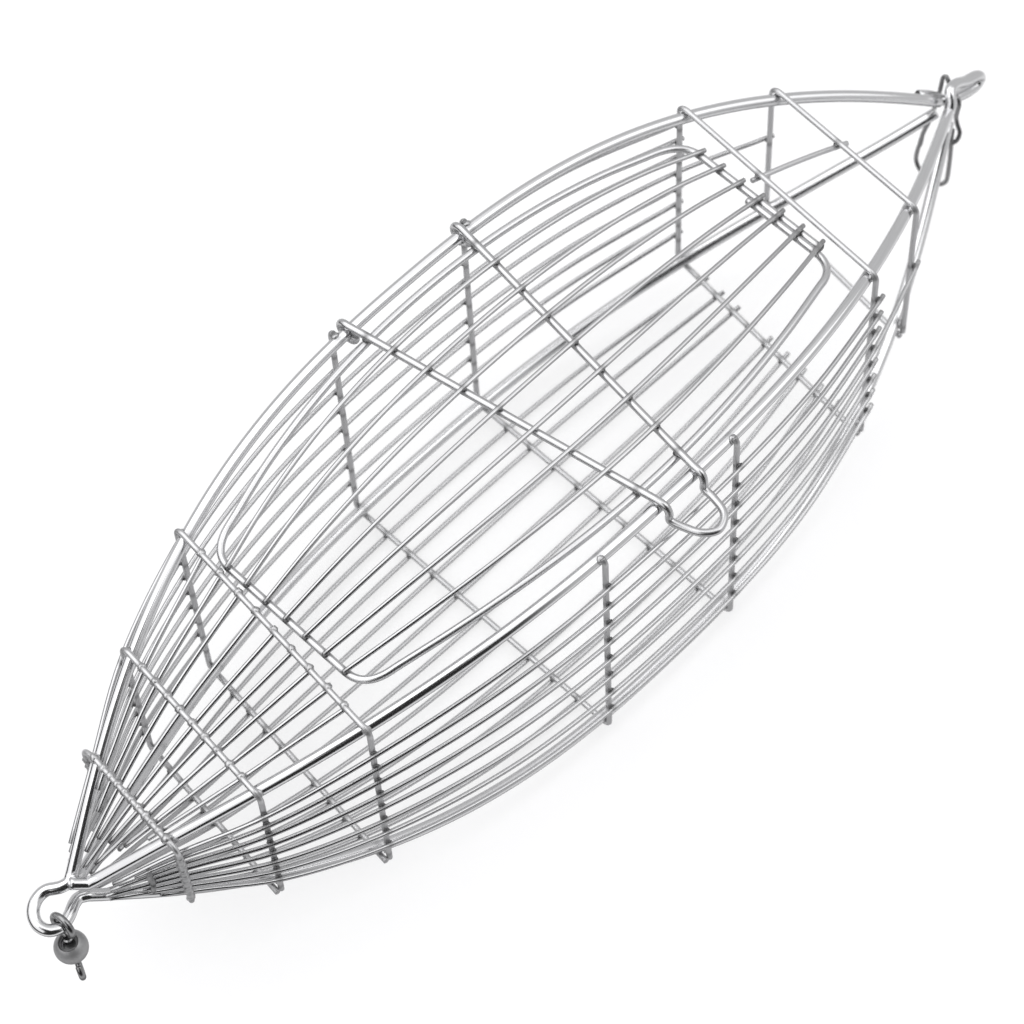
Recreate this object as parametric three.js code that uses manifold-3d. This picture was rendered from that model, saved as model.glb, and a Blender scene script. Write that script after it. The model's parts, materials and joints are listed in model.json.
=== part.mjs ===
// A spindle-shaped wire bait cage for fishing, in millimetres.
// +X points to the open nose with the snap, -X to the decked nose with the swivel.
// +Y is the side with the lid's hinge hooks, -Y the side with its latch loop, and +Z is up.
// The origin is on the underside of the middle floor wire, halfway along the cage.
// Crossing wires keep a hair's breadth of air (GAP) where the real ones are spot welded.
import * as THREE from 'three';
import { mergeVertices } from 'three/addons/utils/BufferGeometryUtils.js';
import Module from 'manifold-3d';

// ---- driving dimensions -------------------------------------------------------------------
const HALF_LENGTH = 100;      // axis to either tip
const HALF_WIDTH = 28.5;      // longerons' half spacing across Y at the middle
const HALF_HEIGHT = 26.6;     // longerons' half spacing across Z at the middle
const WIDTH_POWER = 2.41;     // fullness of the outline seen from above
const WIDTH_PINCH = 1.1;      // how much the noses are drawn in, seen from above
const HEIGHT_POWER = 2.68;    // fullness of the outline seen from the side
const HEAVY = 1.0;            // radius of the longeron wire
const MIDDLE = 0.65;          // radius of the lid frame and latch wire
const RIB = 0.5;              // radius of the rib wire
const THIN = 0.4;             // radius of the mesh wire
const GAP = 0.02;             // air between wires that are welded on the real cage
const MESH_GAP = 0.06;        // the same, between the mesh and the ribs
const TIP_HALF = HEAVY + GAP; // the four longerons lie side by side at the tips

const RIB_STATIONS = [-86.5, -73, -55.5, -14.5, 14.5, 55.5, 72];
const RIB_SKEW = 0.08;        // a closed rib's hinge side stands further along, per millimetre of width
const HOOP = 0;               // the first rib is an arch outside the mesh, cut off at the lower rims
const HOOP_LIFT = 0.4;        // its cut ends stop this far above the lower rims' centres
const OPEN_RIBS = [3, 4];     // these two have no run across the top, under the lid
const LAST_MESH_RIB = 5;      // the mesh stops just past this rib
const DECK_RIB = 2;           // the deck stops just past this rib
const RIB_TAIL = 0.45;        // a rib's cut ends stand past its lower corner
const MESH_TAIL = 1.6;        // a mesh wire's cut end stands past its last rib
const DECK_TAIL = 0.4;        // and a deck wire's cut end
const MESH_FACET = 22;        // a mesh wire's straight facets are about this long

const WALL_WIRES = 8;         // on each side wall
const LONG_WALL_WIRE = 4;     // this one carries on to the last rib
const FLOOR_WIRES = 9;
const DECK_WIRES = 9;
const WALL_STARTS = [-90.5, -97, -92.5, -97.4, -91, -96.6, -93, -96];
const FLOOR_STARTS = [-95, -89.5, -96.5, -88.6, -97.4, -90.2, -96.2, -89, -95.4];
const DECK_STARTS = [-88.6, -91.5, -96, -92.6, -97.4, -93.2, -95.6, -90.6, -88.4];

const LID_OPEN_END = 51.4;    // the lid's end bars, towards the open nose and the decked one
const LID_DECK_END = -52.7;
const LID_CORNER = 5.4;       // the lid's sides stop this far short of its end bars
const LID_HALF_WIDTH = 24.9;
const LID_TAPER_LENGTH = 90;  // the lid's sides would meet at this distance from the middle
const LID_RISE = 0.42;        // the lid's frame stands this far above the rims' centres
const LID_WIRES = 7;
const LID_WIRE_SPACING = 6.57;
const LID_WIRE_BOW = 1.42;
const HOOK_RADIUS = HEAVY + MIDDLE + 0.1;
const HOOK_STATIONS = [-12.2, 12.9];
const LATCH_STATIONS = [-1.8, 6.4];
const LID_OPEN_CLEARANCE = 0.35;

const SWIVEL_WIRE = 0.55;
const UPPER_RING = 2.0;       // radii of the swivel eyes' centrelines
const LOWER_RING = 1.75;
const BEAD_RADIUS = 2.7;
const BEAD_DROP = 4.85;       // eye wire's centre to bead's centre
const LOWER_EYE_TURN = -30;   // degrees about the swivel's axis
const SNAP_WIRE = 0.4;

const wasm = await Module();
wasm.setup();

const v = (x, y, z) => new THREE.Vector3(x, y, z);
const mix = THREE.MathUtils.lerp;
const rad = THREE.MathUtils.degToRad;

// ---- the cage's outline -------------------------------------------------------------------
/** Half the longerons' spacing across Y at a station. */
function halfWidth(x) {
  const share = (1 - Math.abs(x / HALF_LENGTH) ** WIDTH_POWER) ** WIDTH_PINCH;
  return TIP_HALF + (HALF_WIDTH - TIP_HALF) * share;
}

/** Half the longerons' spacing across Z at a station. */
function halfHeight(x) {
  const share = 1 - Math.abs(x / HALF_LENGTH) ** HEIGHT_POWER;
  return TIP_HALF + (HALF_HEIGHT - TIP_HALF) * share;
}

/** How much wider apart two crossing wires must lie where the outline slopes. */
function slopeFactor(x) {
  const step = 0.5;
  const slopeY = (halfWidth(x + step) - halfWidth(x - step)) / (2 * step);
  const slopeZ = (halfHeight(x + step) - halfHeight(x - step)) / (2 * step);
  return Math.hypot(1, slopeY, slopeZ);
}

/** The rib's centreline stands this far outside the longerons' centres. */
function ribOffset(x) {
  return (HEAVY + RIB + GAP) * slopeFactor(x);
}

/** A rib's runs down the walls stand this far outside the longerons; the hoop clears the mesh too. */
function ribSide(index, x) {
  return ribOffset(x) + (index === HOOP ? (2 * THIN + GAP) * slopeFactor(x) : 0);
}

/** Where a rib stands at a share of the half width; the closed ones are a little skewed. */
function ribStation(index, share) {
  const station = RIB_STATIONS[index];
  return OPEN_RIBS.includes(index) ? station : station + RIB_SKEW * share * halfWidth(station);
}

/** The mesh lies outside the ribs, and slips inside the first one, the hoop. */
function meshOffset(x) {
  const hoopStation = RIB_STATIONS[HOOP];
  const outside = THREE.MathUtils.smoothstep(x, hoopStation + 1, RIB_STATIONS[HOOP + 1] - 2);
  const distance = HEAVY + THIN + GAP + outside * (2 * RIB + MESH_GAP);
  return distance * slopeFactor(Math.max(x, hoopStation));
}

/** The deck's mesh lies under the ribs' top runs. */
function deckHeight(x) {
  return halfHeight(x) + ribOffset(x) - (RIB + THIN + GAP) * slopeFactor(x);
}

// ---- wires --------------------------------------------------------------------------------
/**
 * A path given by its knots, so that bends can have more of them than straights.
 * An upright path keeps the section's flats facing straight up and down.
 */
class WirePath extends THREE.Curve {
  constructor(knots, upright) {
    super();
    this.knots = knots;
    this.upright = upright;
  }

  getSpacedPoints() {
    return this.knots;
  }

  getTangentAt(u, target = new THREE.Vector3()) {
    const last = this.knots.length - 1;
    const i = Math.round(u * last);
    const here = this.knots[i];
    const into = v(0, 0, 0).subVectors(here, this.knots[Math.max(i - 1, 0)]).normalize();
    const outOf = v(0, 0, 0).subVectors(this.knots[Math.min(i + 1, last)], here).normalize();
    return target.addVectors(into, outOf).normalize();
  }

  computeFrenetFrames(steps, closed) {
    if (!this.upright) return super.computeFrenetFrames(steps, closed);
    const tangents = this.knots.map((_, i) => this.getTangentAt(i / steps));
    const normals = tangents.map((tangent) => v(0, 0, 1).projectOnPlane(tangent).normalize());
    const binormals = tangents.map((tangent, i) => v(0, 0, 0).crossVectors(tangent, normals[i]));
    return { tangents, normals, binormals };
  }
}

/** A wire's geometry: a regular polygon swept along its knots. */
function wireGeometry(knots, radius, sides, upright = false) {
  const section = new THREE.Shape();
  for (let i = 0; i < sides; i += 1) {
    const angle = 2 * Math.PI * (i + 0.5) / sides;
    const corner = [radius * Math.cos(angle), radius * Math.sin(angle)];
    if (i === 0) section.moveTo(...corner);
    else section.lineTo(...corner);
  }
  section.closePath();
  const extrudePath = new WirePath(knots, upright);
  return new THREE.ExtrudeGeometry(section, { steps: knots.length - 1, extrudePath });
}

/** Evenly spaced numbers from one end to the other. */
function spread(from, to, steps) {
  return Array.from({ length: steps + 1 }, (_, i) => mix(from, to, i / steps));
}

/** A smooth run through a few points. */
function smooth(points, steps) {
  return new THREE.CatmullRomCurve3(points, false, 'centripetal').getPoints(steps);
}

/** An elliptical bend across the cage at one station, from one angle to another. */
function bend(x, centreY, centreZ, radiusY, radiusZ, fromDeg, toDeg, steps) {
  return spread(rad(fromDeg), rad(toDeg), steps).map((angle) => {
    return v(x, centreY + radiusY * Math.cos(angle), centreZ + radiusZ * Math.sin(angle));
  });
}

const steel = { color: 0xb9bcc0, metalness: 1, roughness: 0.25 };
const darkSteel = { color: 0x6c6f73, metalness: 1, roughness: 0.3 };
const beadSteel = { color: 0x85888c, metalness: 1, roughness: 0.45 };

function named(name, geometry, finish) {
  const mesh = new THREE.Mesh(geometry, new THREE.MeshStandardMaterial(finish));
  mesh.name = name;
  return mesh;
}

function wire(name, knots, radius, sides, finish = steel) {
  return named(name, wireGeometry(knots, radius, sides), finish);
}

/** A thin wire that runs along the cage, its flats level. */
function meshWire(name, knots) {
  return named(name, wireGeometry(knots, THIN, 6, true), steel);
}

// ---- longerons ----------------------------------------------------------------------------
/** Knots along one longeron, between two stations. */
function longeron(fromX, toX, sideY, sideZ, steps) {
  return spread(fromX, toX, steps).map((x) => v(x, sideY * halfWidth(x), sideZ * halfHeight(x)));
}

/** The hinge-side rim, the swivel's eye and the latch-side chine are one wire. */
function buildEyeWire() {
  const eye = [
    v(-99, 1.47, 1.7),
    v(-100.1, 0.95, 1.4),
    v(-101.6, 1.35, 1.25),
    v(-103.5, 2.6, 1.1),
    v(-105.6, 2.5, 0.8),
    v(-107.2, 1.3, 0.45),
    v(-107.8, -0.4, 0.05),
    v(-107.2, -2.0, -0.35),
    v(-105.5, -2.75, -0.75),
    v(-103.4, -2.2, -1.1),
    v(-101.6, -1.15, -1.45),
    v(-100.2, -0.75, -1.7),
    v(-98.9, -1.35, -1.9),
  ];
  const knots = [
    ...longeron(99.6, -97.2, 1, 1, 24),
    ...smooth(eye, 30),
    ...longeron(-97.2, 99.2, -1, -1, 24),
  ];
  return wire('hinge_side_rim_with_eye', knots, HEAVY, 8);
}

/** The latch-side rim ends over the swivel's eye, and forms the snap's eye at the other tip. */
function buildSnapEyeWire() {
  const tail = [v(-100.6, -0.1, 3.35), v(-99.4, -1.05, 2.85), v(-98.4, -1.8, 2.45)];
  const eye = [
    v(98.7, -1.6, 1.9),
    v(99.6, -1.1, 3.1),
    v(100.8, 0.2, 4.2),
    v(102.7, 0.75, 3.5),
    v(105.6, 0.8, 1.5),
    v(108.7, 0.8, 0),
    v(109.8, 0.75, -1.4),
    v(109.0, 0.7, -2.5),
    v(106.8, 0.7, -2.3),
    v(104.6, 0.8, -1.5),
    v(102.5, 1.0, -0.9),
    v(101.2, 1.9, -0.4),
    v(99.9, 3.4, 0.5),
    v(97.6, 4.6, 1.9),
  ];
  const knots = [
    ...smooth(tail, 4),
    ...longeron(-97, 97, -1, 1, 24),
    ...smooth(eye, 40),
  ];
  return wire('latch_side_rim_with_eye', knots, HEAVY, 8);
}

function buildChine() {
  return wire('hinge_side_chine', longeron(-98.4, 99.2, 1, -1, 24), HEAVY, 8);
}

// ---- ribs ---------------------------------------------------------------------------------
/** The bottom of one closed rib: from its hinge-side corner back to a cut end past the latch side. */
function ribFloor(index) {
  const start = ribStation(index, 1);
  const end = ribStation(index, -1) - 2 * RIB - 0.05;
  const endY = -halfWidth(ribStation(index, -1)) - ribSide(index, ribStation(index, -1)) - RIB_TAIL;
  return spread(0, 1, 4).slice(1).map((share) => {
    const x = mix(start, end, share);
    return v(x, mix(halfWidth(start), endY, share), -halfHeight(x) - ribSide(index, x));
  });
}

/** One rib: up the latch wall, over the top if it is closed, down the hinge wall and back below. */
function buildRib(index) {
  const latchX = ribStation(index, -1);
  const hingeX = ribStation(index, 1);
  const [latchY, latchZ, latchSide] = [halfWidth(latchX), halfHeight(latchX), ribSide(index, latchX)];
  const [hingeY, hingeZ, hingeSide] = [halfWidth(hingeX), halfHeight(hingeX), ribSide(index, hingeX)];
  const name = `rib_${index + 1}`;
  const open = OPEN_RIBS.includes(index);
  const overTheRim = open ? 55 : 90;
  const latchEnd = 180 - overTheRim;
  const latchCorner = bend(latchX, -latchY, latchZ, latchSide, ribOffset(latchX), 180, latchEnd, 4);
  const hingeCorner = bend(hingeX, hingeY, hingeZ, hingeSide, ribOffset(hingeX), overTheRim, 0, 4);
  const footCorner = bend(hingeX, hingeY, -hingeZ, hingeSide, hingeSide, 0, -90, 4);
  if (open) {
    const heel = bend(latchX, -latchY, -latchZ, latchSide, latchSide, 270, 180, 4);
    return wire(name, [...hingeCorner, ...footCorner, ...heel, ...latchCorner], RIB, 6);
  }
  if (index === HOOP) {
    const latchFoot = v(latchX, -latchY - latchSide, -latchZ + HOOP_LIFT);
    const hingeFoot = v(hingeX, hingeY + hingeSide, -hingeZ + HOOP_LIFT);
    return wire(name, [latchFoot, ...latchCorner, ...hingeCorner, hingeFoot], RIB, 6);
  }
  const foot = v(latchX, -latchY - latchSide, -latchZ - latchSide - RIB_TAIL);
  return wire(name, [foot, ...latchCorner, ...hingeCorner, ...footCorner, ...ribFloor(index)], RIB, 6);
}

// ---- mesh ---------------------------------------------------------------------------------
/**
 * A mesh wire's stations at a share of the half width: its ends, each rib it crosses, even steps between.
 * The middle bay stays one facet, level below, so the cage stands on its floor wires there.
 */
function meshStations(start, end, share) {
  const crossings = RIB_STATIONS.map((_, index) => ribStation(index, share));
  const crossed = crossings.filter((x) => x > start + 1 && x < end - 1);
  const stops = [start, ...crossed, end];
  const stations = stops.slice(1).flatMap((stop, i) => {
    const steps = Math.max(1, Math.round((stop - stops[i]) / MESH_FACET));
    return spread(stops[i], stop, steps).slice(0, -1);
  });
  return [...stations, end];
}

/** A wall wire at a share of the half height, from the decked nose to just past its last rib. */
function buildWallWire(index, sideY, sideName) {
  const share = 2 * (index + 1) / (WALL_WIRES + 1) - 1;
  const lastRib = index === LONG_WALL_WIRE ? LAST_MESH_RIB + 1 : LAST_MESH_RIB;
  const end = ribStation(lastRib, sideY) + MESH_TAIL;
  const knots = meshStations(WALL_STARTS[index], end, sideY).map((x) => {
    return v(x, sideY * (halfWidth(x) + meshOffset(x)), share * halfHeight(x));
  });
  return meshWire(`${sideName}_wall_wire_${index + 1}`, knots);
}

function buildFloorWire(index) {
  const share = 2 * (index + 1) / (FLOOR_WIRES + 1) - 1;
  const end = ribStation(LAST_MESH_RIB, share) + MESH_TAIL;
  const knots = meshStations(FLOOR_STARTS[index], end, share).map((x) => {
    return v(x, share * halfWidth(x), -halfHeight(x) - meshOffset(x));
  });
  return meshWire(`floor_wire_${index + 1}`, knots);
}

function buildDeckWire(index) {
  const share = 2 * (index + 1) / (DECK_WIRES + 1) - 1;
  const end = ribStation(DECK_RIB, share) + DECK_TAIL;
  const knots = meshStations(DECK_STARTS[index], end, share).map((x) => {
    return v(x, share * halfWidth(x), deckHeight(x));
  });
  return meshWire(`deck_wire_${index + 1}`, knots);
}

/** A short bar under the last two ribs' top runs, across the open nose. */
function buildNoseBar() {
  const start = RIB_STATIONS[LAST_MESH_RIB] - 1.2;
  const end = RIB_STATIONS[LAST_MESH_RIB + 1] + 2;
  const knots = spread(0, 1, 3).map((share) => {
    const x = mix(start, end, share);
    return v(x, mix(3.8, 0.4, share), deckHeight(x));
  });
  return wire('nose_bar', knots, RIB - 0.05, 6);
}

/** A short upright tie across the mesh, just outside it on the latch wall. */
function buildWallTie() {
  const x = -91.4;
  const y = -halfWidth(x) - meshOffset(x) - (2 * THIN + GAP) * slopeFactor(RIB_STATIONS[HOOP]);
  const knots = [v(x, y, 4.9), v(x - 0.3, y, 3.2), v(x + 0.1, y, 1.4), v(x - 0.3, y, -1.4)];
  return wire('nose_wall_tie', knots, THIN, 6, darkSteel);
}

// ---- lid ----------------------------------------------------------------------------------
function lidSide(x) {
  return LID_HALF_WIDTH * (1 - (x / LID_TAPER_LENGTH) ** 2);
}

function lidHeight(x) {
  return halfHeight(x) + LID_RISE;
}

/** A rounded corner of the lid's frame, from its side to its end bar. */
function lidCorner(endX, sideY, barX) {
  const sideX = endX - Math.sign(endX) * LID_CORNER;
  const from = v(sideX, sideY * lidSide(sideX), lidHeight(sideX));
  const over = v(barX, sideY * (lidSide(barX) + 0.6), lidHeight(barX));
  const to = v(barX, sideY * (lidSide(barX) - 3.8), lidHeight(barX));
  return new THREE.QuadraticBezierCurve3(from, over, to).getPoints(6);
}

/** One wire bent round to a barrel outline, its ends side by side on the open nose's bar. */
function buildLidFrame() {
  const outerBar = LID_OPEN_END + MIDDLE + GAP;
  const innerBar = LID_OPEN_END - MIDDLE - GAP;
  const openSide = LID_OPEN_END - LID_CORNER;
  const deckSide = LID_DECK_END + LID_CORNER;
  const side = (from, to, sideY) => {
    return spread(from, to, 10).slice(1, -1).map((x) => v(x, sideY * lidSide(x), lidHeight(x)));
  };
  const knots = [
    v(outerBar, -13.4, lidHeight(outerBar)),
    ...lidCorner(LID_OPEN_END, 1, outerBar).reverse(),
    ...side(openSide, deckSide, 1),
    ...lidCorner(LID_DECK_END, 1, LID_DECK_END),
    ...lidCorner(LID_DECK_END, -1, LID_DECK_END).reverse(),
    ...side(deckSide, openSide, -1),
    ...lidCorner(LID_OPEN_END, -1, innerBar),
    v(innerBar, 1.5, lidHeight(innerBar)),
  ];
  return wire('lid_frame', knots, MIDDLE, 6);
}

function buildLidWire(index) {
  const step = index - (LID_WIRES - 1) / 2;
  const over = MIDDLE + THIN + GAP;
  const knots = spread(LID_DECK_END - 0.5, LID_OPEN_END + 1.7, 10).map((x) => {
    const taper = 1 - (x / LID_TAPER_LENGTH) ** 2;
    const bow = LID_WIRE_BOW * (1 - (x / LID_OPEN_END) ** 2);
    return v(x, step * LID_WIRE_SPACING * taper, lidHeight(x) + over + bow);
  });
  return meshWire(`lid_wire_${index + 1}`, knots);
}

/** A hook over the hinge-side rim, from its cut end inside the cage to the top of the bar. */
function hook(x) {
  return bend(x, halfWidth(x), halfHeight(x), HOOK_RADIUS, HOOK_RADIUS, -195, 90, 13);
}

/** Hook, bar, latch loop, bar and hook are one wire, over the frame and under the lid wires. */
function buildLatchWire() {
  const [hookA, hookB] = HOOK_STATIONS;
  const [latchA, latchB] = LATCH_STATIONS;
  const top = halfHeight(hookA) + HOOK_RADIUS;
  const rimY = -halfWidth(0);
  const outY = rimY - HEAVY - MIDDLE - LID_OPEN_CLEARANCE;
  const loop = [
    v(latchA, rimY + 0.4, top),
    v(latchA + 0.3, rimY - 1.3, top - 0.35),
    v(latchA + 0.3, outY - 0.1, top - 1.5),
    v(latchA, outY - 0.5, top - 2.7),
    v(latchA + 0.6, outY - 2.3, top - 3.2),
    v(latchA + 2.1, -36.0, top - 3.3),
    v(latchA + 4.2, -37.3, top - 3.3),
    v(latchB - 1.5, -36.0, top - 3.3),
    v(latchB - 0.6, outY - 2.3, top - 3.2),
    v(latchB - 0.6, outY - 0.5, top - 2.7),
    v(latchB - 0.2, outY - 0.1, top - 1.5),
    v(latchB, rimY - 1.3, top - 0.35),
    v(latchB, rimY + 0.4, top),
  ];
  const knots = [
    ...hook(hookA),
    v(mix(hookA, latchA, 0.06), mix(halfWidth(0), rimY, 0.06), top),
    ...smooth(loop, 32),
    v(mix(hookB, latchB, 0.06), mix(halfWidth(0), rimY, 0.06), top),
    ...hook(hookB).reverse(),
  ];
  return wire('hinge_and_latch_wire', knots, MIDDLE, 6);
}

// ---- swivel -------------------------------------------------------------------------------
/** The swivel's own frame: its origin on the eye wire, its own -Z down the swivel's axis. */
function swivelFrame() {
  const down = v(-0.126, -0.327, -0.937).normalize();
  const alongEye = v(0.98, 0.06, -0.17).normalize();
  const across = v(0, 0, 0).crossVectors(down, alongEye).normalize();
  const normal = v(0, 0, 0).crossVectors(down, across).normalize();
  const group = new THREE.Group();
  group.position.set(-105.1, -2.78, -0.84);
  const basis = new THREE.Matrix4().makeBasis(normal, across, v(0, 0, 0).copy(down).negate());
  group.quaternion.setFromRotationMatrix(basis);
  return group;
}

/** Turns a closed three.js geometry into a solid that can be joined. */
function solidOf(geometry) {
  const bare = geometry.clone();
  bare.deleteAttribute('normal');
  bare.deleteAttribute('uv');
  const welded = mergeVertices(bare, 1e-4);
  const mesh = new wasm.Mesh({
    numProp: 3,
    vertProperties: new Float32Array(welded.attributes.position.array),
    triVerts: new Uint32Array(welded.index.array),
  });
  return new wasm.Manifold(mesh);
}

function joined(first, second) {
  const { vertProperties, triVerts } = solidOf(first).add(solidOf(second)).getMesh();
  const geometry = new THREE.BufferGeometry();
  geometry.setAttribute('position', new THREE.BufferAttribute(vertProperties, 3));
  geometry.setIndex(new THREE.BufferAttribute(triVerts, 1));
  return geometry;
}

/** A wire eye whose stem ends in a head inside the bead; turned over for the lower one. */
function swivelEye(name, ringRadius, ringCentreZ, headZ) {
  const facing = Math.sign(headZ - ringCentreZ);
  const ring = spread(rad(44), rad(330), 16).map((angle) => {
    const y = ringRadius * Math.sin(angle);
    return v(0, y, ringCentreZ + facing * ringRadius * Math.cos(angle));
  });
  const foot = ringCentreZ + facing * (ringRadius + 0.35);
  const knots = [...ring, v(0, -0.25, foot - facing * 0.3), v(0, 0, foot), v(0, 0, headZ)];
  const head = new THREE.CylinderGeometry(1.0, 1.0, 0.8, 12);
  head.rotateX(Math.PI / 2);
  head.translate(0, 0, headZ);
  return named(name, joined(wireGeometry(knots, SWIVEL_WIRE, 8), head), darkSteel);
}

/** A ball with a bore through it, countersunk at both mouths and wide inside for the heads. */
function buildBead() {
  const bore = SWIVEL_WIRE + 0.12;
  const mouth = 1.3;
  const mouthZ = Math.sqrt(BEAD_RADIUS ** 2 - mouth ** 2);
  const seatZ = mouthZ - 0.75;
  const chamber = 1.25;
  const chamberZ = 1.15;
  const outer = Math.asin(mouthZ / BEAD_RADIUS);
  const ball = spread(-outer, outer, 10).map((angle) => {
    return new THREE.Vector2(BEAD_RADIUS * Math.cos(angle), BEAD_RADIUS * Math.sin(angle));
  });
  const inside = [
    [mouth, seatZ], [bore, seatZ], [bore, chamberZ], [chamber, chamberZ],
    [chamber, -chamberZ], [bore, -chamberZ], [bore, -seatZ], [mouth, -seatZ],
  ].map(([r, z]) => new THREE.Vector2(r, z));
  const profile = [...ball, ...inside, ball[0].clone()];
  const geometry = new THREE.LatheGeometry(profile, 18);
  geometry.rotateX(Math.PI / 2);
  geometry.translate(0, 0, -BEAD_DROP);
  return named('swivel_bead', geometry, beadSteel);
}

function buildSwivel() {
  const group = swivelFrame();
  const headZ = 0.7;
  const lowerRing = -BEAD_DROP - BEAD_RADIUS - LOWER_RING - 0.1;
  group.add(swivelEye('swivel_upper_eye', UPPER_RING, 0, -BEAD_DROP + headZ));
  group.add(buildBead());
  const lowerEye = swivelEye('swivel_lower_eye', LOWER_RING, lowerRing, -BEAD_DROP - headZ);
  lowerEye.rotation.z = rad(LOWER_EYE_TURN);
  group.add(lowerEye);
  return group;
}

// ---- snap ---------------------------------------------------------------------------------
/** The snap's own frame: its origin where it crosses the eye, its own -Z down the snap. */
function snapFrame() {
  const group = new THREE.Group();
  group.position.set(102.7, 0.8, 0.75);
  group.rotation.y = rad(9);
  return group;
}

/** The locking curl, the strand up to the eye, the arch and the long leg. */
function buildSnapBody() {
  const points = [
    v(-0.9, -1.2, -10.2),
    v(-0.9, -2.4, -9.9),
    v(-0.45, -3.2, -8.7),
    v(0, -3.1, -7.2),
    v(0, -2.3, -5.9),
    v(0, -1.7, -4.6),
    v(0, -1.6, -2.8),
    v(0, -1.6, -1.4),
    v(0, -1.1, -0.4),
    v(0, 0, 0),
    v(0, 0.9, 0.85),
    v(0, 1.6, 1.9),
    v(0, 2.2, 2.5),
    v(0, 2.75, 1.9),
    v(0, 2.8, 0.4),
    v(0, 2.75, -2.5),
    v(0, 3.3, -9.5),
    v(0, 3.9, -13),
    v(0, 3.95, -15.3),
  ];
  return wire('snap_body', smooth(points, 54), SNAP_WIRE, 6, darkSteel);
}

/** The sprung arm: round the snap's foot and up to its end inside the curl. */
function buildSnapArm() {
  const points = [
    v(0, 3.95, -15.4),
    v(0, 4.15, -18),
    v(0, 3.9, -20.2),
    v(0, 2.6, -21.7),
    v(0, 0.4, -22.2),
    v(0, -1.8, -21.7),
    v(0, -2.95, -19.9),
    v(0, -2.95, -18),
    v(0, -2.35, -12.8),
    v(0, -1.85, -9.8),
    v(0, -1.6, -7.6),
  ];
  return wire('snap_arm', smooth(points, 34), SNAP_WIRE, 8, darkSteel);
}

function buildSnap() {
  const group = snapFrame();
  group.add(buildSnapBody());
  group.add(buildSnapArm());
  return group;
}

// ---- the whole cage -----------------------------------------------------------------------
const cage = new THREE.Group();
cage.add(buildEyeWire(), buildSnapEyeWire(), buildChine());
RIB_STATIONS.forEach((_, index) => cage.add(buildRib(index)));
for (let index = 0; index < WALL_WIRES; index += 1) {
  cage.add(buildWallWire(index, 1, 'hinge'));
  cage.add(buildWallWire(index, -1, 'latch'));
}
for (let index = 0; index < FLOOR_WIRES; index += 1) cage.add(buildFloorWire(index));
for (let index = 0; index < DECK_WIRES; index += 1) cage.add(buildDeckWire(index));
cage.add(buildNoseBar(), buildWallTie());
cage.add(buildLidFrame(), buildLatchWire());
for (let index = 0; index < LID_WIRES; index += 1) cage.add(buildLidWire(index));
cage.add(buildSwivel(), buildSnap());

// Everything above is placed about the spindle's axis; here the floor wires come down to Z = 0.
cage.position.z = -new THREE.Box3().setFromObject(cage).min.z;

export default cage;
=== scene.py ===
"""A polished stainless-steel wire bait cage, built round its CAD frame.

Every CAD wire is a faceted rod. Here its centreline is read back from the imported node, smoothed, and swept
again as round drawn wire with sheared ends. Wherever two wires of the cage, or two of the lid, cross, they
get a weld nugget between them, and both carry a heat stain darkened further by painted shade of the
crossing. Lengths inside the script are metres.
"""

import json
import math

import bmesh
import bpy
import numpy as np
from mathutils import Matrix, Vector, noise
from mathutils.kdtree import KDTree


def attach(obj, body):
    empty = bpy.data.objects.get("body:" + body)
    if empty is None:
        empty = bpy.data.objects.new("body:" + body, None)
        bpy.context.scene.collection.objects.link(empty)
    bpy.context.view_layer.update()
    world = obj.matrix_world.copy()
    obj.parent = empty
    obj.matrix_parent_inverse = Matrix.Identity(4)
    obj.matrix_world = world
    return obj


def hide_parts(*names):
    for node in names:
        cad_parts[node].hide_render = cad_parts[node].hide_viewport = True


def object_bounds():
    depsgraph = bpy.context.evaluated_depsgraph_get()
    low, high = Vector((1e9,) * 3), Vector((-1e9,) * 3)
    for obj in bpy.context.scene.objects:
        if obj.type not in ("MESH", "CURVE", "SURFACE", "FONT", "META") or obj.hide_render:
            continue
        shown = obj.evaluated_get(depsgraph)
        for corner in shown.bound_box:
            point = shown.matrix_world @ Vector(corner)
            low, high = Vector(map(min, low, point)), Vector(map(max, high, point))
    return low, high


MM = 0.001

VIEW_AZIMUTH = -41.78
VIEW_ELEVATION = 60.31
VIEW_ROLL = -4.1
VIEW_BACK = (                  # from the cage towards the camera
    math.sin(math.radians(VIEW_AZIMUTH)) * math.cos(math.radians(VIEW_ELEVATION)),
    -math.cos(math.radians(VIEW_AZIMUTH)) * math.cos(math.radians(VIEW_ELEVATION)),
    math.sin(math.radians(VIEW_ELEVATION)),
)

# ---- reading a CAD rod's centreline --------------------------------------------------------
SAME_CORNER = 2e-6             # corners nearer than this are one corner
COPLANAR = math.cos(math.radians(0.3))
ROD_SIDES = (6, 8)
CAP_SLACK = 0.02               # how far an end cap may be from round, as a share of its radius


def merged_corners(obj):
    """A node's corners without repeats, their neighbours, its triangles, and the pairs in one plane."""
    bm = bmesh.new()
    bm.from_mesh(obj.data)
    bmesh.ops.remove_doubles(bm, verts=bm.verts, dist=SAME_CORNER)
    bmesh.ops.triangulate(bm, faces=bm.faces)
    bm.verts.index_update()
    bm.normal_update()
    points = np.array([v.co for v in bm.verts])
    neighbours = [[e.other_vert(v).index for e in v.link_edges] for v in bm.verts]
    faces = list(bm.faces)
    for i, face in enumerate(faces):
        face.index = i
    corners = [[v.index for v in face.verts] for face in faces]
    flat = []
    for edge in bm.edges:
        if len(edge.link_faces) == 2:
            a, b = edge.link_faces
            if a.normal.dot(b.normal) > COPLANAR:
                flat.append((a.index, b.index))
    bm.free()
    return points, neighbours, corners, flat


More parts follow.
